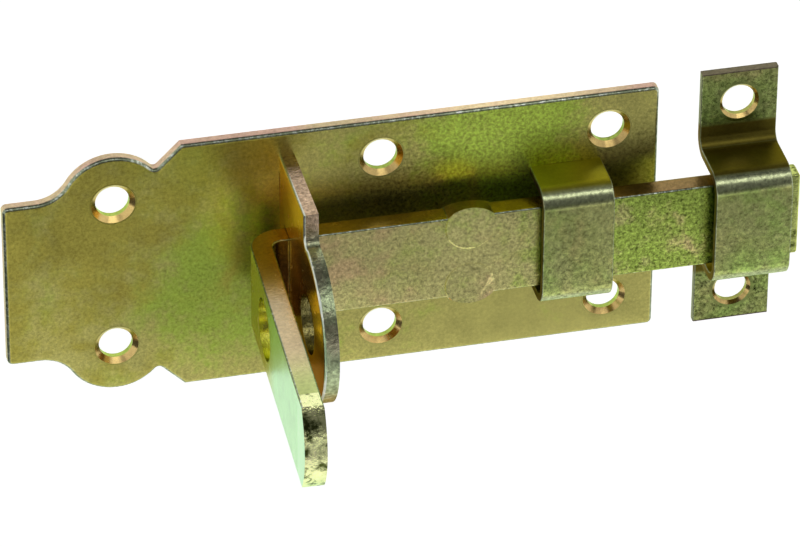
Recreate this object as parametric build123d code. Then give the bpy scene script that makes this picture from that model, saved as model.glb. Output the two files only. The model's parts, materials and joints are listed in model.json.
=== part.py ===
from build123d import *
import math
import os

# Door bolt for a padlock: a flat bar slides along a screw-on plate, through a standing ear and under a
# bent strap, into a separate keeper. It is shown closed.
#
# The pieces are drawn as on a bench: X along the bolt towards its throw, Y across the plate, Z out of the
# mounting plane, with the origin in the middle of the plate's back. At the end they are stood up, so that
# the mounting plane is upright, Y across the plate becomes Z, and the bolt's front faces -Y.
# All sizes are in millimetres and degrees.

# Base plate, with its shaped tail at the left
plate_length = 120.0
plate_width = 51.5
plate_thickness = 2.0
plate_corner_radius = 1.0
plate_edge_roll = 0.75
tail_width = 33.6
tail_blend_radius = 6.8
lobe_radius = 9.5
neck_offset = 32.35
neck_angle = 45.0
neck_notch_radius = 0.9

# Screw holes in the plate: one pair in the lobes, one beside the ear, one beside the strap
screw_hole_radius = 3.1
screw_sink_radius = 4.0
screw_sink_angle = 90.0
tail_hole_offset = 19.9
tail_hole_spacing = 30.5
middle_hole_offset = 68.7
end_hole_inset = 9.3
plate_hole_spacing = 36.5

# Sliding bar and the handle bent up from its tail
bar_width = 17.0
bar_thickness = 4.0
bar_edge_radius = 0.4
bar_lift = 4.0
bolt_travel = 26.0
retracted_inset = 1.3
bar_end_chamfer = 0.3
bend_inner_radius = 1.7
handle_gap = 3.2
handle_lean = 2.1
handle_reach = 54.0
handle_tip_radius = 12.75
handle_eye_radius = 5.75

# Stops: a bulge on each edge of the bar, pushed out by a round punch
stop_length = 8.6
stop_front_bulge = 1.8
stop_back_bulge = 0.8
stop_clearance = 0.2
punch_radius = 4.5
punch_inset = 2.3
punch_depth = 0.1
punch_height = 1.0
punch_lean_along = 1.3
punch_lean_across = 0.4

# Standing ear with the padlock's eye
ear_offset = 50.1
ear_thickness = 2.75
ear_width = 42.0
ear_shoulder_height = 19.5
ear_nose_radius = 14.8
ear_nose_height = 21.6
ear_corner_radius = 2.0
ear_edge_roll = 0.6
eye_radius = 5.5
eye_height = 22.6
window_clearance = 0.3

# Guide strap
strap_length = 13.2
strap_inset = 10.6
strap_thickness = 1.6
strap_bend_radius = 4.0
strap_edge_radius = 0.25
strap_side_gap = 2.1
strap_front_gap = 0.8

# Keeper
keeper_length = 14.3
keeper_gap = 8.0
keeper_thickness = 1.6
keeper_bend_radius = 4.2
keeper_foot_radius = 2.0
keeper_edge_radius = 0.25
keeper_side_gap = 1.6
keeper_front_gap = 2.1
keeper_height = 53.7
keeper_hole_spacing = 40.8
keeper_hole_radius = 3.05
keeper_sink_radius = 3.65

# Tenons that rivet the ear and the strap into the plate
ear_tenon_width = 8.0
ear_tenon_spacing = 27.0
strap_tenon_length = 7.0
tenon_clearance = 0.05

# Levels above the mounting plane and places along the bolt, worked out from the sizes above
plate_left = -plate_length / 2
plate_right = plate_length / 2
bar_back = plate_thickness + bar_lift
bar_front = bar_back + bar_thickness
bar_middle = bar_back + bar_thickness / 2
bar_end = plate_right + bolt_travel - retracted_inset
ear_left = plate_left + ear_offset
ear_right = ear_left + ear_thickness
handle_corner = ear_left - handle_gap - bar_thickness / 2
stop_middle = ear_right + bolt_travel + stop_clearance + stop_length / 2
strap_middle = plate_right - strap_inset - strap_length / 2
strap_half = bar_width / 2 + strap_side_gap + strap_thickness
strap_front = bar_front + strap_front_gap + strap_thickness
keeper_middle = plate_right + keeper_gap + keeper_length / 2
keeper_half = bar_width / 2 + keeper_side_gap + keeper_thickness
keeper_front = bar_front + keeper_front_gap + keeper_thickness
plate_screws = [
    (plate_left + tail_hole_offset, tail_hole_spacing / 2),
    (plate_left + middle_hole_offset, plate_hole_spacing / 2),
    (plate_right - end_hole_inset, plate_hole_spacing / 2),
]


def mirrored(points):
    """Each point and its mirror image across the bolt's centre line."""
    return [(x, side * y) for x, y in points for side in (1, -1)]


def corners_at(sketch, x, y):
    """The sketch's corners at x and at y on both sides of the centre line."""
    near = [v for v in sketch.vertices() if abs(v.X - x) < 1e-3 and abs(abs(v.Y) - y) < 1e-3]
    return ShapeList(near)


def plate_outline():
    """The stamped outline: tail, two lobes round the tail's screws, notches, sloping necks and plain end."""
    neck_x = plate_left + neck_offset
    slope = math.tan(math.radians(neck_angle))
    lobe_x, lobe_y = plate_screws[0]
    neck_foot = plate_width / 2 - (neck_x - lobe_x) * slope
    body = make_face(Polyline(
        (lobe_x, neck_foot), (neck_x, plate_width / 2), (plate_right, plate_width / 2),
        (plate_right, -plate_width / 2), (neck_x, -plate_width / 2), (lobe_x, -neck_foot), close=True))
    tail = Pos((plate_left + neck_x) / 2, 0) * Rectangle(neck_x - plate_left, tail_width)
    outline = body + tail
    for place in mirrored([(lobe_x, lobe_y)]):
        outline += Pos(*place) * Circle(lobe_radius)
    # The tail's edge sweeps up into the lobe
    rise = tail_width / 2 - lobe_y
    blend_x = lobe_x - math.sqrt(lobe_radius ** 2 - rise ** 2)
    outline = fillet(corners_at(outline, blend_x, tail_width / 2), tail_blend_radius)
    # The notch lies where the lobe meets the sloping neck
    along = Vector(math.cos(math.radians(neck_angle)), math.sin(math.radians(neck_angle)))
    start = Vector(neck_x - lobe_x, plate_width / 2 - lobe_y)
    across = start.dot(along)
    back = across - math.sqrt(across ** 2 - start.dot(start) + lobe_radius ** 2)
    outline = fillet(corners_at(outline, neck_x - back * along.X, plate_width / 2 - back * along.Y),
                     neck_notch_radius)
    outline = fillet(corners_at(outline, plate_left, tail_width / 2), plate_corner_radius)
    outline = fillet(corners_at(outline, plate_right, plate_width / 2), plate_corner_radius)
    return outline


def tenon_slots():
    """The plate's slots for the ear's and the strap's tenons, as one flat shape."""
    ear_slot = Rectangle(ear_thickness + 2 * tenon_clearance, ear_tenon_width + 2 * tenon_clearance)
    strap_slot = Rectangle(strap_tenon_length + 2 * tenon_clearance, strap_thickness + 2 * tenon_clearance)
    ear_places = mirrored([(ear_left + ear_thickness / 2, ear_tenon_spacing / 2)])
    strap_places = mirrored([(strap_middle, strap_half - strap_thickness / 2)])
    slots = [Pos(*place) * ear_slot for place in ear_places]
    slots += [Pos(*place) * strap_slot for place in strap_places]
    return Sketch() + slots


def make_base_plate():
    """Flat plate with a rolled front edge, countersunk screw holes and tenon slots."""
    plate = extrude(plate_outline(), plate_thickness)
    plate = fillet(plate.faces().sort_by(Axis.Z)[-1].edges(), plate_edge_roll)
    plate -= extrude(tenon_slots(), plate_thickness)
    hole = CounterSinkHole(screw_hole_radius, screw_sink_radius, plate_thickness, screw_sink_angle)
    for x, y in mirrored(plate_screws):
        plate -= Pos(x, y, plate_thickness) * hole
    return plate


def make_lock_ear():
    """Standing plate, rolled on its left: shoulders, round nose with the eye, window and two tenons."""
    foot = plate_thickness
    shoulder = foot + ear_shoulder_height
    nose = foot + ear_nose_height
    profile = Pos(0, (foot + shoulder) / 2) * Rectangle(ear_width, shoulder - foot)
    profile += Pos(0, (foot + nose) / 2) * Rectangle(2 * ear_nose_radius, nose - foot)
    profile += Pos(0, nose) * Circle(ear_nose_radius)
    inner_corners = [v for v in profile.vertices()
                     if abs(abs(v.X) - ear_nose_radius) < 1e-3 and abs(v.Y - shoulder) < 1e-3]
    profile = fillet(inner_corners, ear_corner_radius)
    for side in (1, -1):
        profile += Pos(side * ear_tenon_spacing / 2, foot / 2) * Rectangle(ear_tenon_width, foot)
    window_width = bar_width + 2 * window_clearance
    window_height = bar_thickness + 2 * window_clearance
    profile -= Pos(0, bar_middle) * Rectangle(window_width, window_height)
    profile -= Pos(0, foot + eye_height) * Circle(eye_radius)
    ear = extrude(Plane.YZ.offset(ear_left) * profile, ear_thickness)
    outline = ear.faces().sort_by(Axis.X)[0].outer_wire().edges()
    return fillet([edge for edge in outline if edge.center().Z > foot + 1e-3], ear_edge_roll)


def bent_strap(middle, length, thickness, edge_radius, path):
    """Strip of the given length along X, bent along a path in the plane across the bolt."""
    line = Plane.YZ.offset(middle) * path
    start = Plane(line @ 0, x_dir=(1, 0, 0), z_dir=line % 0)
    return sweep(start * RectangleRounded(length, thickness, edge_radius), path=line)


def make_guide_strap():
    """Bridge over the bar with two feet that stand on the plate, each with one tenon."""
    half = strap_half - strap_thickness / 2
    top = strap_front - strap_thickness / 2
    path = FilletPolyline((half, plate_thickness), (half, top), (-half, top), (-half, plate_thickness),
                          radius=strap_bend_radius - strap_thickness / 2)
    strap = bent_strap(strap_middle, strap_length, strap_thickness, strap_edge_radius, path)
    tenon = extrude(Rectangle(strap_tenon_length, strap_thickness), plate_thickness)
    for x, y in mirrored([(strap_middle, half)]):
        strap += Pos(x, y) * tenon
    return strap


def make_keeper():
    """Hat-shaped strap with a screw hole in each flange."""
    half = keeper_half - keeper_thickness / 2
    top = keeper_front - keeper_thickness / 2
    low = keeper_thickness / 2
    foot = keeper_foot_radius + keeper_thickness / 2
    bend = keeper_bend_radius - keeper_thickness / 2
    path = FilletPolyline((keeper_height / 2, low), (half, low), (half, top), (-half, top), (-half, low),
                          (-keeper_height / 2, low), radius=[foot, bend, bend, foot])
    keeper = bent_strap(keeper_middle, keeper_length, keeper_thickness, keeper_edge_radius, path)
    hole = CounterSinkHole(keeper_hole_radius, keeper_sink_radius, keeper_thickness, screw_sink_angle)
    for x, y in mirrored([(keeper_middle, keeper_hole_spacing / 2)]):
        keeper -= Pos(x, y, keeper_thickness) * hole
    return keeper


def stop_bulge():
    """Metal that one punch pushes out of the bar's edge, fuller at the front than at the back."""
    edge = bar_width / 2
    sections = []
    for level, bulge in ((bar_back, stop_back_bulge), (bar_front, stop_front_bulge)):
        left = (stop_middle - stop_length / 2, edge)
        right = (stop_middle + stop_length / 2, edge)
        arc = ThreePointArc(left, (stop_middle, edge + bulge), right)
        root = Polyline(right, (right[0], edge - bar_edge_radius), (left[0], edge - bar_edge_radius), left)
        sections.append(Pos(0, 0, level) * make_face(arc + root))
    return loft(sections)


def punch_mark():
    """Shallow round dent of one punch, deeper towards the handle and the bar's middle."""
    on_end = (Align.CENTER, Align.CENTER, Align.MIN)
    tool = Cone(punch_radius, punch_radius + punch_height, punch_height, align=on_end)
    lean = Rot(X=punch_lean_across, Y=-punch_lean_along)
    return Pos(stop_middle, bar_width / 2 - punch_inset, bar_front - punch_depth) * lean * tool


def make_bolt_bar():
    """Flat bar bent up into the handle, with its stops, the handle's eye and the round tip."""
    lean = math.radians(handle_lean)
    rise = bar_thickness / 2 + handle_reach
    corner = Vector(handle_corner, 0, bar_middle)
    up = Vector(-math.sin(lean), 0, math.cos(lean))
    tip_length = rise / math.cos(lean)
    path = FilletPolyline((bar_end, 0, bar_middle), corner, corner + up * tip_length,
                          radius=bend_inner_radius + bar_thickness / 2)
    start = Plane(path @ 0, x_dir=(0, 1, 0), z_dir=path % 0)
    bar = sweep(start * RectangleRounded(bar_width, bar_thickness, bar_edge_radius), path=path)
    end_edges = bar.faces().sort_by(Axis.X)[-1].edges()
    bar = chamfer(end_edges, bar_end_chamfer)
    # Round tip and eye, in the handle's own plane: x along the handle, y across it
    handle = Plane(corner, x_dir=up, z_dir=Vector(math.cos(lean), 0, math.sin(lean)))
    tip_centre = tip_length - handle_tip_radius
    waste = Pos(tip_centre + handle_tip_radius, 0) * Rectangle(2 * handle_tip_radius, 2 * bar_width)
    waste -= Pos(tip_centre, 0) * Circle(handle_tip_radius)
    bar -= extrude(handle * waste, bar_thickness, both=True)
    eye_along = (plate_thickness + eye_height - bar_middle) / math.cos(lean)
    bar -= extrude(handle * Pos(eye_along, 0) * Circle(handle_eye_radius), bar_thickness, both=True)
    # Stops and the marks of the punches that raised them
    bulge, mark = stop_bulge(), punch_mark()
    bar += [bulge, mirror(bulge, about=Plane.XZ)]
    bar -= [mark, mirror(mark, about=Plane.XZ)]
    return bar


pieces = {
    "base_plate": make_base_plate(),
    "lock_ear": make_lock_ear(),
    "guide_strap": make_guide_strap(),
    "bolt_bar": make_bolt_bar(),
    "keeper": make_keeper(),
}
os.makedirs("parts", exist_ok=True)
for name, piece in pieces.items():
    export_step(Plane.XZ * piece, os.path.join("parts", name + ".step"))
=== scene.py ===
import json
import math

import bpy
from mathutils import Matrix, Vector


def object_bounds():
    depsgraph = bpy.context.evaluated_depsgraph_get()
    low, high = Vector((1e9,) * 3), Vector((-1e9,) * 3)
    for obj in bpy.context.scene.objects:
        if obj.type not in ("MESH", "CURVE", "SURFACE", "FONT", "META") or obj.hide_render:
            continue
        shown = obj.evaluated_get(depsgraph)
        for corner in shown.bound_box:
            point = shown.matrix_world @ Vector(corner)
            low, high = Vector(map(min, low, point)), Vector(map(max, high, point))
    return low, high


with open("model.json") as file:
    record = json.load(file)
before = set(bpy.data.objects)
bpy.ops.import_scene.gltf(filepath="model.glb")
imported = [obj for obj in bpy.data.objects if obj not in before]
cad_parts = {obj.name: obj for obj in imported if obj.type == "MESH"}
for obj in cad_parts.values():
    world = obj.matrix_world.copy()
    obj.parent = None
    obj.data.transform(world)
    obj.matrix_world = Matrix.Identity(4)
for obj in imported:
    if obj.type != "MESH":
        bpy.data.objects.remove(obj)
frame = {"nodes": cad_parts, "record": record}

# Looks of a padlockable door bolt in yellow-chromated zinc, seen closed from the upper left.
# Lengths are in metres, angles in degrees, colours are linear.

MM = 0.001
cad_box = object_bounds()
mounts = {mount["name"]: mount for mount in frame["record"]["mounts"]}
eye = mounts["padlock_eye"]

# Camera
camera_azimuth = -13.53
camera_elevation = 34.21
camera_roll = 0.415
camera_target = Vector((12.27, -2.0, -7.48)) * MM
camera_distance = 1108.6 * MM
camera_lens = 275.6
camera_sensor = 36.0
camera_clip = (0.01, 50.0)

# Stage. A level card is given by its left, right, front and back sides. The camera's card stands upright,
# and is given by its left, right, low and high sides.
white = (1.0, 1.0, 1.0)
world_strength = 1.0
floor_white = (0.85, 0.85, 0.85)
floor_lift = 0.46
floor_drop = 260 * MM
floor_half = 4.0
floor_level = cad_box[0][2] - floor_drop
front_card = (-0.06, 1.2, -1.5, -0.36)
left_card = (-1.3, -0.30, -0.55, 0.25)
top_card = (-1.0, 1.0, -0.50, 0.90)
top_level = 1.2
camera_card = (-1.1, 1.1, -0.1, 1.75)
camera_side = -1.45
front_grey = (0.46, 0.46, 0.46)
left_grey = (0.12, 0.12, 0.12)
top_grey = (0.16, 0.16, 0.16)
camera_grey = (0.16, 0.16, 0.16)
softbox_place = (0.2, -0.66, 1.1)
softbox_size = (0.8, 0.26)
softbox_power = 0.98

# Edges that the shears leave sharp
edge_width = 0.12 * MM
edge_steps = 2
bevel_angle = 50.0
sharp_angle = 32.0
weld_distance = 0.002 * MM

# Zones of the bar: its flat sides, its punched bulges, its handle, and its two torn ends
side_start = 8.0 * MM
bulge_start = 8.6 * MM
handle_start = -16.5 * MM
tip_length = 7.07 * MM
tip_start = cad_box[0][1] + tip_length
torn_length = 1.7 * MM
torn_start = cad_box[1][0] - torn_length
# Where the handle's faces turn to mint, partly its own tone and partly a painted reflection, and its cut
# edges to beige and to green, out from the door
mint_reach = (22 * MM, 36 * MM)
beige_reach = (20 * MM, 30 * MM)
green_reach = (42 * MM, 56 * MM)
# Where brown shade is painted inside the bar's bend: from just left of the ear, and fading out from the
# door
bend_gap = 0.3 * MM
bend_start = eye["pos_m"][0] - eye["dims"]["length_mm"] / 2 * MM - bend_gap
bend_reach = (34 * MM, 24 * MM)
# Where the bar's cut edges turn to brown, near the plate's right end
brown_start = (46 * MM, 54 * MM)
# Zones of the strap and the keeper: the legs, which get painted shade, from the bends outwards, and the
# keeper's flanges
leg_start = (11.3 * MM, 12.0 * MM)
leg_end = (16.5 * MM, 15.5 * MM)
flange_start = 15.0 * MM
flange_margin = 0.25 * MM
flange_end = cad_box[1][2] - flange_margin
# Zones of the ear: its face turns to a painted brown shade downwards, towards the bar, and its cut edge
# turns rosy upwards
ear_shade_reach = (7.0 * MM, 0.0 * MM)
rose_reach = (14.0 * MM, 19.0 * MM)
# How far the sinks reach past the screw holes, and the rounding past the padlock's eye
sink_width = 1.2 * MM
eye_margin = 0.6 * MM

# Noises of the finish: features per metre, detail, roughness and distortion
noises = {
    "patches": (45, 4, 0.55, 0.5),
    "blush": (60, 3, 0.55, 0.6),
    "clouds": (260, 5, 0.65, 0.0),
    "tears": (1300, 3, 0.70, 0.0),
    "grains": (1500, 5, 0.75, 0.3),
}
noise_middle = 0.5

# Slopes between which rims, cut edges, the bulges' lips, legs and the painted highlight colour on bends
# come in
rim_slope = (0.26, 0.55)
cut_slope = (0.93, 0.985)
lip_slope = (0.4, 0.7)
leg_slope = (0.86, 0.94)
bend_sheen_slope = (0.2, 0.5)
# Noise levels between which the second colour of faces, rims, cut edges and torn ends comes in
green_drift = (0.42, 0.86)
rosy_flush = (0.44, 0.74)
rim_tears = (0.46, 0.64)
cut_blush = (0.40, 0.60)
tip_rips = (0.35, 0.51)
# A face is at the front where its normal's Y is below this
front_limit = 0.3
# A face is inside the bend where its normal's X less its Y is above this
inside_limit = 0.3

# Shares of the front's spots in the green, of the tears in the rips, and of the clouds in brightness and
# roughness
blot_share = 0.3
rip_share = 0.25
cloud_share = 0.6
cloud_rough = 0.10
# What holes and torn ends take off the roughness
bore_gloss = 0.10
tip_gloss = 0.12
# What cut edges and holes, and the zones of painted shade and mint, take off the grain
smooth_loss = 0.7
shade_and_sheen_loss = 0.8
# Depth of the tears, and what torn ends add to it
tear_depth = 0.05 * MM
tip_depth = 0.10 * MM

# Chromate colours of sinks, grazing light, cut edges, rims and torn ends
sink_gold = (0.64, 0.46, 0.17)
cool_tint = (0.78, 0.92, 0.62)
cut_gold = (0.62, 0.38, 0.06)
cut_amber = (0.48, 0.32, 0.06)
cut_beige = (0.64, 0.50, 0.30)
cut_green = (0.52, 0.58, 0.22)
cut_rose = (0.62, 0.40, 0.31)
cut_brown = (0.26, 0.17, 0.08)
ear_green = (0.38, 0.45, 0.26)
ear_beige = (0.58, 0.47, 0.34)
ear_rose = (0.54, 0.40, 0.28)
lip_gold = (0.58, 0.40, 0.12)
rim_olive = (0.24, 0.28, 0.18)
rim_silver = (0.56, 0.61, 0.52)
rim_grey = (0.40, 0.42, 0.30)
rim_white = (0.70, 0.70, 0.60)
tip_dark = (0.08, 0.10, 0.02)
# Pale speckle of torn ends, which on the handle's tip is also a painted highlight
tip_pale_glint = (0.94, 0.98, 0.48)
tip_olive = (0.46, 0.52, 0.16)

# Looks of each piece. Gold, green and rosy drift over the faces, and three more colours fill zones on them:
# painted shade on the ear's lower face and on the strap's and keeper's legs, which on the handle is instead
# a pale mint, partly its own tone and partly a painted reflection; painted brown shade inside the bar's
# bend; and a paler painted highlight colour on the strap's bends. Rim and cut are pairs of colours, and
# bore is the colour in holes. Tint is the colour at grazing angles, on faces and on the zones of painted
# shade and mint. Lean (per metre along each axis) and flush place the rosy. The front's round spots
# (centre, inner and outer radius in mm, then green, lift and grit) add to the green and the grain of the
# front, or take from them, and their lift is painted light and shade that brightens or darkens the front.
# Mottle breaks up the patches, grain and torn are the strength of the grain and of the tears, and relief is
# the grain's height. Rough is the roughness, and haze adds to it on the zones of painted shade and mint.
# Seed moves the noises.
plate_look = {
    "gold": (0.56, 0.52, 0.155), "green": (0.38, 0.50, 0.075), "rosy": (0.41, 0.36, 0.07),
    "rim": (rim_olive, rim_silver), "cut": (cut_beige, cut_rose), "bore": (0.40, 0.50, 0.10),
    # On the plate the rosy is a darker brown, which the lean brings in towards the left and the top.
    "tint": (cool_tint, cool_tint), "lean": (-4.0, 0.0, 4.0), "flush": -0.06,
    # Spot lifts are painted light and shade: lighter at upper right and by the ear, darker above the bar.
    "blots": (((-24, -2, -5), 4, 27, 1.0, -0.08, 0.0), ((30, -2, 21), 4, 26, 1.5, 0.46, 1.6),
              ((38, -2, -22), 4, 34, -0.8, -0.08, -0.7), ((54, -2, 9), 4, 15, -2.0, -0.46, 0.0),
              ((12, -2, 10), 2, 16, -0.4, -0.40, 0.3), ((-13, -2, 12), 2, 15, 0.2, 0.35, 0.0)),
    "mottle": 1.0, "grain": 1.8, "relief": 0.008 * MM, "torn": 1.0, "rough": 0.31, "seed": 0.0,
}
ear_look = {
    # The ear's orange is partly its own tone and partly a painted reflection of the gold plate beside it;
    "gold": (0.98, 0.68, 0.16), "green": (0.74, 0.58, 0.16), "rosy": (0.80, 0.47, 0.09),
    # its dark brown, with the darker tint, is painted shade on its lower face.
    "bare": (0.24, 0.14, 0.03), "rim": (rim_silver, rim_white), "cut": (ear_beige, ear_green),
    "bore": (0.36, 0.32, 0.12), "tint": ((1.0, 0.74, 0.36), (0.50, 0.34, 0.14)),
    "lean": (0.0, 0.0, 0.0), "flush": 0.0, "blots": (), "mottle": 0.5, "grain": 0.6,
    "relief": 0.006 * MM, "torn": 2.4, "rough": 0.26, "haze": 0.0, "seed": 0.1,
}
bar_look = {
    "gold": (0.62, 0.58, 0.23), "green": (0.36, 0.48, 0.09), "rosy": (0.64, 0.48, 0.24),
    # The handle's pale mint is partly its own tone and partly a painted reflection; the dark brown is
    # painted shade.
    "bare": (0.62, 0.77, 0.54), "deep": (0.20, 0.13, 0.04), "rim": (rim_olive, rim_silver),
    "cut": (cut_gold, cut_amber), "bore": (0.92, 0.94, 0.30),
    "tint": ((0.74, 0.76, 0.38), (0.76, 1.0, 0.74)), "lean": (-2.0, 0.0, 0.0), "flush": 0.0,
    "blots": (((66, -10, 0), 6, 46, 1.0, 0.05, 1.0),), "mottle": 1.3, "grain": 2.8,
    "relief": 0.014 * MM, "torn": 0.7, "rough": 0.26, "haze": 0.0, "seed": 0.47,
}
strap_look = {
    "gold": (0.45, 0.48, 0.18), "green": (0.32, 0.46, 0.11), "rosy": (0.44, 0.42, 0.16),
    # The legs' darker gold is painted shade, and the paler colour on the bends is a painted highlight.
    "bare": (0.38, 0.34, 0.03), "worn": (0.44, 0.48, 0.27), "rim": (rim_olive, rim_grey),
    # The strap's and keeper's cut edges are dark, a painted shade of what they mirror.
    "cut": ((0.12, 0.09, 0.06), (0.20, 0.16, 0.11)), "bore": (0.45, 0.45, 0.12),
    "tint": (cool_tint, (0.60, 0.56, 0.26)), "lean": (0.0, 0.0, 0.0), "flush": 0.0,
    # The lift of the strap's spot paints a slight shade low on it.
    "blots": (((43, -14, -10), 2, 22, 0.6, -0.06, 0.3),), "mottle": 1.1, "grain": 2.8,
    "relief": 0.012 * MM, "torn": 0.5, "rough": 0.26, "haze": 0.16, "seed": 0.67,
}
keeper_look = {
    # The keeper's legs are darker still, a painted shade.
    **strap_look, "bare": (0.16, 0.13, 0.02),
    # The lifts of the keeper's spots paint shade on its flanges.
    "blots": (((75, -2, -22), 6, 18, 0.6, -0.28, 0.3), ((75, -2, 22), 6, 18, 0.6, -0.20, 0.3),
              ((75, -14, -10), 2, 22, 0.5, -0.05, 0.3)),
}


def spot(azimuth, elevation, distance, target):
    """Point at a distance from a target; azimuth 0 looks along +Y, as in the views."""
    turn, rise = math.radians(azimuth), math.radians(elevation)
    back = Vector((math.sin(turn) * math.cos(rise), -math.cos(turn) * math.cos(rise), math.sin(rise)))
    return target + back * distance


def aim(place, target, roll):
    """Matrix that puts something at a place with its -Z axis towards the target."""
    back = (place - target).normalized()
    right = Vector((0, 0, 1)).cross(back).normalized()
    up = back.cross(right)
    turn = Matrix((right, up, back)).transposed().to_4x4()
    return Matrix.Translation(place) @ turn @ Matrix.Rotation(math.radians(roll), 4, "Z")


def make_camera():
    """Long lens at the photograph's viewing angle."""
    data = bpy.data.cameras.new("camera")
    data.sensor_width = camera_sensor
    data.lens = camera_lens
    data.clip_start, data.clip_end = camera_clip
    camera = bpy.data.objects.new("camera", data)
    place = spot(camera_azimuth, camera_elevation, camera_distance, camera_target)
    camera.matrix_world = aim(place, camera_target, camera_roll)
    bpy.context.scene.collection.objects.link(camera)
    bpy.context.scene.camera = camera


class Tree:
    """Short way to add and join shader nodes."""

    def __init__(self, owner):
        owner.use_nodes = True
        self.tree = owner.node_tree
        self.tree.nodes.clear()

    def add(self, kind, **inputs):
        """New node; inputs are values or sockets by input name."""
        node = self.tree.nodes.new(kind)
        for key, value in inputs.items():
            self.put(node.inputs[key.replace("_", " ")], value)
        return node

    def put(self, socket, value):
        """Links a socket to an input, or sets the input's value."""
        if isinstance(value, bpy.types.NodeSocket):
            self.tree.links.new(value, socket)
        elif socket.type == "RGBA":
            socket.default_value = (*value, 1.0)
        else:
            socket.default_value = value

    def math(self, operation, *values, clamp=False):
        """Math node's output."""
        node = self.tree.nodes.new("ShaderNodeMath")
        node.operation = operation
        node.use_clamp = clamp
        for socket, value in zip(node.inputs, values):
            self.put(socket, value)
        return node.outputs[0]

    def rest(self, share):
        """What a share leaves of 1."""
        return self.math("SUBTRACT", 1.0, share)

    def split(self, vector):
        """X, Y and Z of a vector."""
        return self.add("ShaderNodeSeparateXYZ", Vector=vector).outputs

    def measure(self, operation, *vectors):
        """Value that a vector operation gives."""
        node = self.tree.nodes.new("ShaderNodeVectorMath")
        node.operation = operation
        for socket, vector in zip(node.inputs, vectors):
            self.put(socket, vector)
        return node.outputs["Value"]

    def noise(self, coordinates, scale, detail, roughness, distortion):
        """Noise value with features of about 1/scale metres."""
        node = self.add("ShaderNodeTexNoise", Vector=coordinates, Scale=scale, Detail=detail,
                        Roughness=roughness, Distortion=distortion)
        return node.outputs[0]

    def ramp(self, value, low, high):
        """Value stretched so that low becomes 0 and high becomes 1, smoothly."""
        node = self.add("ShaderNodeMapRange", Value=value, From_Min=low, From_Max=high)
        node.interpolation_type = "SMOOTHSTEP"
        return node.outputs["Result"]

    def mix(self, factor, first, second, blend="MIX"):
        """Colour mixed from two colours."""
        node = self.add("ShaderNodeMix")
        node.data_type = "RGBA"
        node.blend_type = blend
        colours = [socket for socket in node.inputs if socket.type == "RGBA"]
        self.put(node.inputs["Factor"], factor)
        self.put(colours[0], first)
        self.put(colours[1], second)
        return next(socket for socket in node.outputs if socket.type == "RGBA")

    def end(self, shader, kind="ShaderNodeOutputMaterial"):
        """Joins a shader to the tree's output."""
        self.put(self.add(kind).inputs["Surface"], shader.outputs[0])


def make_world():
    """Even white surroundings, which the camera and the metal both see."""
    world = bpy.data.worlds.new("studio")
    bpy.context.scene.world = world
    tree = Tree(world)
    light = tree.add("ShaderNodeBackground", Color=white, Strength=world_strength)
    tree.end(light, "ShaderNodeOutputWorld")


def make_softbox():
    """Soft lamp that hangs level, above and in front of the bolt."""
    data = bpy.data.lights.new("softbox", "AREA")
    data.shape = "RECTANGLE"
    data.size, data.size_y = softbox_size
    data.energy = softbox_power
    lamp = bpy.data.objects.new("softbox", data)
    lamp.location = softbox_place
    lamp.visible_camera = False
    bpy.context.scene.collection.objects.link(lamp)


def sheet(name, patches, material):
    """Piece of the stage that is made of four-cornered patches."""
    mesh = bpy.data.meshes.new(name)
    corners = [corner for patch in patches for corner in patch]
    faces = [tuple(range(first, first + 4)) for first in range(0, len(corners), 4)]
    mesh.from_pydata(corners, [], faces)
    mesh.materials.append(material)
    piece = bpy.data.objects.new(name, mesh)
    bpy.context.scene.collection.objects.link(piece)
    return piece


def level_corners(left, right, front, back, height):
    """Corners of a level rectangle."""
    return [(left, front, height), (right, front, height), (right, back, height), (left, back, height)]


def floor_paint():
    """Pale paint, lifted to white for the camera and for reflections; it still takes the shadow."""
    material = bpy.data.materials.new("floor_paint")
    tree = Tree(material)
    path = tree.add("ShaderNodeLightPath").outputs
    seen = tree.math("MAXIMUM", path["Is Camera Ray"], path["Is Glossy Ray"])
    seen = tree.math("MAXIMUM", seen, path["Is Transmission Ray"])
    paint = tree.add("ShaderNodeBsdfDiffuse", Color=floor_white)
    lift = tree.add("ShaderNodeEmission", Color=white, Strength=tree.math("MULTIPLY", seen, floor_lift))
    both = tree.add("ShaderNodeAddShader")
    tree.put(both.inputs[0], paint.outputs[0])
    tree.put(both.inputs[1], lift.outputs[0])
    tree.end(both)
    return material


def floor_patches(*cards):
    """Level patches of floor round some cards that lie in it."""
    across = sorted({-floor_half, floor_half, *(side for card in cards for side in card[:2])})
    along = sorted({-floor_half, floor_half, *(side for card in cards for side in card[2:])})
    patches = []
    for left, right in zip(across, across[1:]):
        for front, back in zip(along, along[1:]):
            inside = [card[0] <= left < card[1] and card[2] <= front < card[3] for card in cards]
            if not any(inside):
                patches.append(level_corners(left, right, front, back, floor_level))
    return patches


def card(name, corners, colour):
    """Matt card that the metal sees and the camera doesn't."""
    material = bpy.data.materials.new(name)
    tree = Tree(material)
    tree.end(tree.add("ShaderNodeBsdfDiffuse", Color=colour))
    sheet(name, [corners], material).visible_camera = False


def make_stage():
    """Floor well below the bolt, and the cards that the metal mirrors."""
    sheet("floor", floor_patches(front_card, left_card), floor_paint())
    card("front_card", level_corners(*front_card, floor_level), front_grey)
    card("left_card", level_corners(*left_card, floor_level), left_grey)
    card("top_card", level_corners(*top_card, top_level), top_grey)
    left, right, low, high = camera_card
    upright = [(left, low), (right, low), (right, high), (left, high)]
    card("camera_card", [(x, camera_side, z) for x, z in upright], camera_grey)


def tilt_from(tree, normal, axis):
    """Sine of the angle between the surface's normal and an axis."""
    along = tree.split(normal)[axis]
    square = tree.math("MULTIPLY", along, along)
    return tree.math("SQRT", tree.math("SUBTRACT", 1.0, square, clamp=True))


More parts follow.
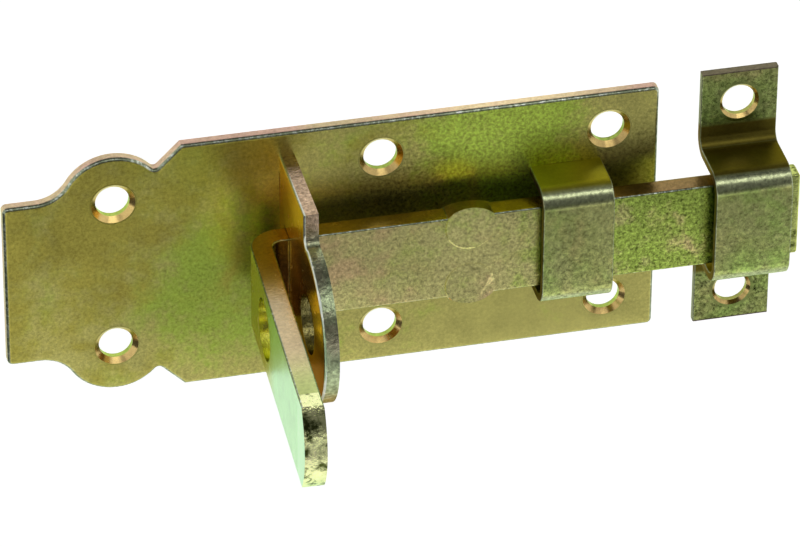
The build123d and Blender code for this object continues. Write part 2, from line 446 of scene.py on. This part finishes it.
def tilt_to(tree, normal, axis):
    """Cosine of that angle, without its sign."""
    return tree.math("ABSOLUTE", tree.split(normal)[axis])


def screw_holes(*mount_names):
    """Place (x and z) and radius of each of some mounts' screw holes above the centre line."""
    holes = []
    for name in mount_names:
        middle, sizes = mounts[name]["pos_m"][0], mounts[name]["dims"]
        reach = sizes.get("spacing_x_mm", 0.0) / 2 * MM
        for x in sorted({middle - reach, middle + reach}):
            holes.append((x, sizes["spacing_y_mm"] / 2 * MM, sizes["hole_r_mm"] * MM))
    return holes


def in_holes(tree, place, holes):
    """1 in the screw holes and on their sinks, above and below the centre line, and 0 elsewhere."""
    inside = 0.0
    height = tree.math("ABSOLUTE", place["Z"])
    for x, z, radius in holes:
        offset = tree.add("ShaderNodeCombineXYZ", X=tree.math("SUBTRACT", place["X"], x),
                          Z=tree.math("SUBTRACT", height, z)).outputs[0]
        near = tree.math("LESS_THAN", tree.measure("LENGTH", offset), radius + sink_width)
        inside = tree.math("MAXIMUM", near, inside)
    return inside


def in_eye(tree, place):
    """1 in the eyes that take the padlock, 0 elsewhere."""
    offset = tree.add("ShaderNodeCombineXYZ", Y=tree.math("SUBTRACT", place["Y"], eye["pos_m"][1]),
                      Z=tree.math("SUBTRACT", place["Z"], eye["pos_m"][2])).outputs[0]
    return tree.math("LESS_THAN", tree.measure("LENGTH", offset), eye["dims"]["r_mm"] * MM + eye_margin)


# Zones of each piece. Edge is 0 on broad faces and 1 on cut edges, bore is 1 in holes and on their sinks,
# and the zone of painted shade and mint is 1 where a colour of its own with little grain goes: painted
# shade on the ear's lower face and on the legs, and the handle's mint, partly a painted reflection. Top is
# 1 on the ear's upper end, and the bend highlight zone is 1 on the strap's bends, where a paler painted
# highlight colour goes. The bar also has a zone that is 1 inside its bend, where brown shade is painted,
# tip, 1 on its torn ends, lip, 1 on its bulges, far, 1 near and past the plate's right end, and away, the
# distance out from the door.
def plate_zones(tree, place, normal):
    """Zones of the plate."""
    return {"edge": tilt_from(tree, normal, "Y"),
            "bore": in_holes(tree, place, screw_holes("plate_screws", "tail_screws"))}


def ear_zones(tree, place, normal):
    """Zones of the ear."""
    return {"edge": tilt_from(tree, normal, "X"), "bore": in_eye(tree, place),
            # Painted shade: the ear's face turns dark brown downwards, towards the bar.
            "bare": tree.ramp(place["Z"], *ear_shade_reach), "top": tree.ramp(place["Z"], *rose_reach)}


def strap_zones(tree, place, normal):
    """Zones of the strap and the keeper, whose flanges are flat and whose arches are bent."""
    height = tree.math("ABSOLUTE", place["Z"])
    slope = tilt_from(tree, normal, "Y")
    on_flange = tree.math("GREATER_THAN", height, flange_start)
    at_end = tree.math("GREATER_THAN", height, flange_end)
    bore = in_holes(tree, place, screw_holes("keeper_screws"))
    side = tree.math("MULTIPLY", tilt_to(tree, normal, "X"), tree.rest(bore))
    ring = tree.math("MULTIPLY", slope, tree.math("MULTIPLY", bore, on_flange))
    edge = tree.math("MAXIMUM", tree.math("ADD", side, ring), at_end)
    # The legs get painted shade, and the convex bends a paler painted highlight colour.
    past_bend = tree.math("MAXIMUM", tree.ramp(height, *leg_start), tree.ramp(slope, *leg_slope))
    on_leg = tree.math("MULTIPLY", past_bend, tree.ramp(height, *leg_end))
    # A paler painted highlight colour on the convex bends.
    worn = tree.math("MULTIPLY", tree.ramp(slope, *bend_sheen_slope), tree.rest(past_bend))
    return {"edge": edge, "bore": bore, "bare": on_leg, "worn": worn}


def inside_bend(tree, place, normal, away):
    """1 on the faces inside the bar's bend, where brown shade is painted, and 0 elsewhere."""
    facing = tree.split(normal)
    inside = tree.math("GREATER_THAN", tree.math("SUBTRACT", facing["X"], facing["Y"]), inside_limit)
    past_ear = tree.math("LESS_THAN", place["X"], bend_start)
    near_door = tree.math("MULTIPLY", past_ear, tree.ramp(away, *bend_reach))
    return tree.math("MULTIPLY", inside, near_door)


def bar_zones(tree, place, normal):
    """Zones of the bar and its handle."""
    height = tree.math("ABSOLUTE", place["Z"])
    away = tree.math("MULTIPLY", place["Y"], -1.0)
    on_handle = tree.math("LESS_THAN", place["Y"], handle_start)
    on_side = tree.math("MULTIPLY", tree.math("GREATER_THAN", height, side_start), tree.rest(on_handle))
    past_side = tree.math("GREATER_THAN", height, bulge_start)
    on_bulge = tree.math("MULTIPLY", past_side, tree.ramp(tilt_from(tree, normal, "Y"), *lip_slope))
    at_end = tree.math("GREATER_THAN", place["X"], torn_start)
    flat = tree.math("MULTIPLY", tilt_to(tree, normal, "Z"), on_side)
    upright = tree.math("MULTIPLY", tilt_from(tree, normal, "X"), on_handle)
    end_or_bulge = tree.math("MAXIMUM", at_end, on_bulge)
    return {
        "edge": tree.math("MAXIMUM", tree.math("ADD", flat, upright), end_or_bulge),
        "bore": tree.math("MULTIPLY", in_eye(tree, place), on_handle),
        # The handle's mint, partly a painted reflection of the bright surroundings
        "bare": tree.math("MULTIPLY", on_handle, tree.ramp(away, *mint_reach)),
        # Painted brown shade inside the bend
        "deep": inside_bend(tree, place, normal, away),
        "tip": tree.math("MAXIMUM", tree.math("LESS_THAN", place["Y"], tip_start), at_end),
        "lip": past_side,
        "far": tree.ramp(place["X"], *brown_start),
        "away": away,
    }


def swing(tree, noise, share):
    """A noise's swing about its middle, times a share."""
    return tree.math("MULTIPLY", tree.math("SUBTRACT", noise, noise_middle), share)


def blot_sums(tree, point, front, blots):
    """Green, lift and grit of the front's round spots, full in their middles and 0 past their outer radii;
    the lift is painted light and shade.
    """
    sums = [0.0, 0.0, 0.0]
    for centre, inner, outer, *values in blots:
        distance = tree.measure("DISTANCE", point, [length * MM for length in centre])
        share = tree.math("MULTIPLY", front, tree.ramp(distance, outer * MM, inner * MM))
        sums = [tree.math("MULTIPLY_ADD", share, value, total) for value, total in zip(values, sums)]
    return sums


def face_colour(tree, point, noise, green, zone, look):
    """Gold with drifting green and rosy patches, and the zones' colours: painted shade, the handle's partly
    painted mint, and a painted highlight colour.
    """
    drift = tree.math("ADD", noise["patches"], swing(tree, noise["clouds"], look["mottle"]))
    drift = tree.math("MULTIPLY_ADD", green, blot_share, drift)
    face = tree.mix(tree.ramp(drift, *green_drift), look["gold"], look["green"])
    flush = tree.math("ADD", tree.measure("DOT_PRODUCT", point, look["lean"]), noise["blush"])
    flush = tree.math("ADD", flush, swing(tree, noise["clouds"], look["mottle"] / 2))
    low, high = [level - look["flush"] for level in rosy_flush]
    face = tree.mix(tree.ramp(flush, low, high), face, look["rosy"])
    # Zone colours: painted shade, the handle's partly painted mint, brown shade in the bend, bend
    # highlights.
    for area in ("bare", "deep", "worn"):
        if area in zone:
            face = tree.mix(zone[area], face, look[area])
    return face


def rim_colour(tree, noise, zone, look):
    """Burnished rims, broken by the tears of the shears, and golden sinks round the holes."""
    rim = tree.mix(tree.ramp(noise["tears"], *rim_tears), *look["rim"])
    return tree.mix(zone["bore"], rim, sink_gold)


def bar_cut(tree, noise, zone, cut):
    """The bar's cut edges, which turn to brown, and on the handle to beige and green, with ripped ends."""
    cut = tree.mix(zone["far"], cut, cut_brown)
    cut = tree.mix(zone["lip"], cut, lip_gold)
    cut = tree.mix(tree.ramp(zone["away"], *beige_reach), cut, cut_beige)
    cut = tree.mix(tree.ramp(zone["away"], *green_reach), cut, cut_green)
    rips = tree.math("ADD", noise["clouds"], swing(tree, noise["tears"], rip_share))
    # On the handle's tip the pale speckle is also a painted highlight.
    pale = tree.mix(zone["far"], tip_pale_glint, tip_olive)
    return tree.mix(zone["tip"], cut, tree.mix(tree.ramp(rips, *tip_rips), tip_dark, pale))


def cut_colour(tree, noise, zone, look):
    """Cut edges in two colours, rosy at the ear's upper end, and the insides of the holes."""
    cut = tree.mix(tree.ramp(noise["blush"], *cut_blush), *look["cut"])
    if "top" in zone:
        cut = tree.mix(zone["top"], cut, ear_rose)
    if "away" in zone:
        cut = bar_cut(tree, noise, zone, cut)
    return tree.mix(zone["bore"], cut, look["bore"])


def fine_grain(tree, noise, grit, is_cut, zone):
    """Grain, which the front's spots change and which is faint on cut edges, in holes and on the zones of
    painted shade and mint.
    """
    smooth = tree.math("MAXIMUM", is_cut, zone["bore"])
    remaining = tree.math("MULTIPLY_ADD", smooth, -smooth_loss, 1.0)
    coarse = tree.math("MULTIPLY", tree.math("ADD", grit, 1.0), remaining)
    if "bare" in zone:
        coarse = tree.math("MULTIPLY", coarse, tree.math("MULTIPLY_ADD", zone["bare"], -shade_and_sheen_loss, 1.0))
    return swing(tree, noise["grains"], coarse)


def shaded(tree, colour, noise, grain, torn, lift, look):
    """Colour that the spots' lift (painted light and shade), the clouds, the grain and the tears darken and
    brighten.
    """
    level = tree.math("MULTIPLY_ADD", grain, look["grain"], tree.math("ADD", lift, 1.0))
    level = tree.math("ADD", level, swing(tree, noise["clouds"], cloud_share))
    level = tree.math("ADD", level, torn)
    levels = tree.add("ShaderNodeCombineColor", Red=level, Green=level, Blue=level).outputs[0]
    return tree.mix(1.0, colour, levels, "MULTIPLY")


def roughness(tree, noise, zone, look):
    """Roughness, which is less in holes and on torn ends; the zones of painted shade and mint may be hazy.
    """
    rough = tree.math("ADD", swing(tree, noise["clouds"], cloud_rough), look["rough"])
    rough = tree.math("MULTIPLY_ADD", zone["bore"], -bore_gloss, rough)
    if "bare" in zone:
        rough = tree.math("MULTIPLY_ADD", zone["bare"], look["haze"], rough)
    if "tip" in zone:
        rough = tree.math("MULTIPLY_ADD", zone["tip"], -tip_gloss, rough)
    return rough


def uneven(tree, grain, torn, zone, look):
    """Normal of the surface with its grain and its tears, which are deepest on torn ends."""
    depth = tear_depth
    if "tip" in zone:
        depth = tree.math("MULTIPLY_ADD", zone["tip"], tip_depth, depth)
    height = tree.math("MULTIPLY_ADD", torn, depth, tree.math("MULTIPLY", grain, look["relief"]))
    return tree.add("ShaderNodeBump", Strength=1.0, Distance=1.0, Height=height).outputs[0]


def chromate(name, zones, look):
    """Yellow-chromated zinc: drifting colours under a fine grain, rolled rims and torn cut edges, with
    painted shade, reflections and highlights in some zones.
    """
    material = bpy.data.materials.new(name)
    tree = Tree(material)
    seen = tree.add("ShaderNodeTexCoord").outputs
    point, normal = seen["Object"], seen["Normal"]
    zone = zones(tree, tree.split(point), normal)
    shift = (look["seed"], 2 * look["seed"], 3 * look["seed"])
    drawn = tree.add("ShaderNodeMapping", Vector=point, Location=shift).outputs[0]
    noise = {key: tree.noise(drawn, *settings) for key, settings in noises.items()}
    front = tree.math("LESS_THAN", tree.split(normal)["Y"], front_limit)
    # The spots' lift is painted light and shade on the front.
    green, lift, grit = blot_sums(tree, point, front, look["blots"])
    is_rim = tree.ramp(zone["edge"], *rim_slope)
    is_cut = tree.ramp(zone["edge"], *cut_slope)
    colour = face_colour(tree, point, noise, green, zone, look)
    colour = tree.mix(is_rim, colour, rim_colour(tree, noise, zone, look))
    colour = tree.mix(is_cut, colour, cut_colour(tree, noise, zone, look))
    grain = fine_grain(tree, noise, grit, is_cut, zone)
    torn = tree.math("MULTIPLY", swing(tree, noise["tears"], look["torn"]), is_cut)
    tint = tree.mix(zone["bare"], *look["tint"]) if "bare" in zone else look["tint"][0]
    shader = tree.add("ShaderNodeBsdfPrincipled", Metallic=1.0, Specular_Tint=tint,
                      Base_Color=shaded(tree, colour, noise, grain, torn, lift, look),
                      Roughness=roughness(tree, noise, zone, look),
                      Normal=uneven(tree, grain, torn, zone, look))
    tree.end(shader)
    return material


def clean_shading():
    """Geometry nodes that shade smoothly across edges flatter than the sharp angle."""
    group = bpy.data.node_groups.new("clean_shading", "GeometryNodeTree")
    for way in ("INPUT", "OUTPUT"):
        group.interface.new_socket("Geometry", in_out=way, socket_type="NodeSocketGeometry")
    start = group.nodes.new("NodeGroupInput")
    end = group.nodes.new("NodeGroupOutput")
    plain = group.nodes.new("GeometryNodeRemoveAttribute")
    plain.inputs["Name"].default_value = "custom_normal"
    faces = group.nodes.new("GeometryNodeSetShadeSmooth")
    faces.domain = "FACE"
    angle = group.nodes.new("GeometryNodeInputMeshEdgeAngle")
    flat = group.nodes.new("FunctionNodeCompare")
    flat.operation = "LESS_THAN"
    flat.inputs[1].default_value = math.radians(sharp_angle)
    edges = group.nodes.new("GeometryNodeSetShadeSmooth")
    edges.domain = "EDGE"
    join = group.links.new
    join(angle.outputs["Unsigned Angle"], flat.inputs[0])
    join(start.outputs[0], plain.inputs["Geometry"])
    join(plain.outputs[0], faces.inputs["Geometry"])
    join(faces.outputs[0], edges.inputs["Geometry"])
    join(flat.outputs[0], edges.inputs["Shade Smooth"])
    join(edges.outputs[0], end.inputs[0])
    return group


def dress(name, finish, shading):
    """Gives a CAD node its finish and a slight break on the edges that are left sharp."""
    piece = frame["nodes"][name]
    piece.data.materials.clear()
    piece.data.materials.append(finish)
    piece.modifiers.new("weld", "WELD").merge_threshold = weld_distance
    piece.modifiers.new("shading", "NODES").node_group = shading
    bevel = piece.modifiers.new("edges", "BEVEL")
    bevel.width = edge_width
    bevel.segments = edge_steps
    bevel.limit_method = "ANGLE"
    bevel.angle_limit = math.radians(bevel_angle)
    bevel.harden_normals = True


make_camera()
make_world()
make_stage()
make_softbox()

shading = clean_shading()
dress("base_plate", chromate("plate_chromate", plate_zones, plate_look), shading)
dress("lock_ear", chromate("ear_chromate", ear_zones, ear_look), shading)
dress("bolt_bar", chromate("bar_chromate", bar_zones, bar_look), shading)
dress("guide_strap", chromate("strap_chromate", strap_zones, strap_look), shading)
dress("keeper", chromate("keeper_chromate", strap_zones, keeper_look), shading)

bpy.context.scene.view_settings.view_transform = "Standard"
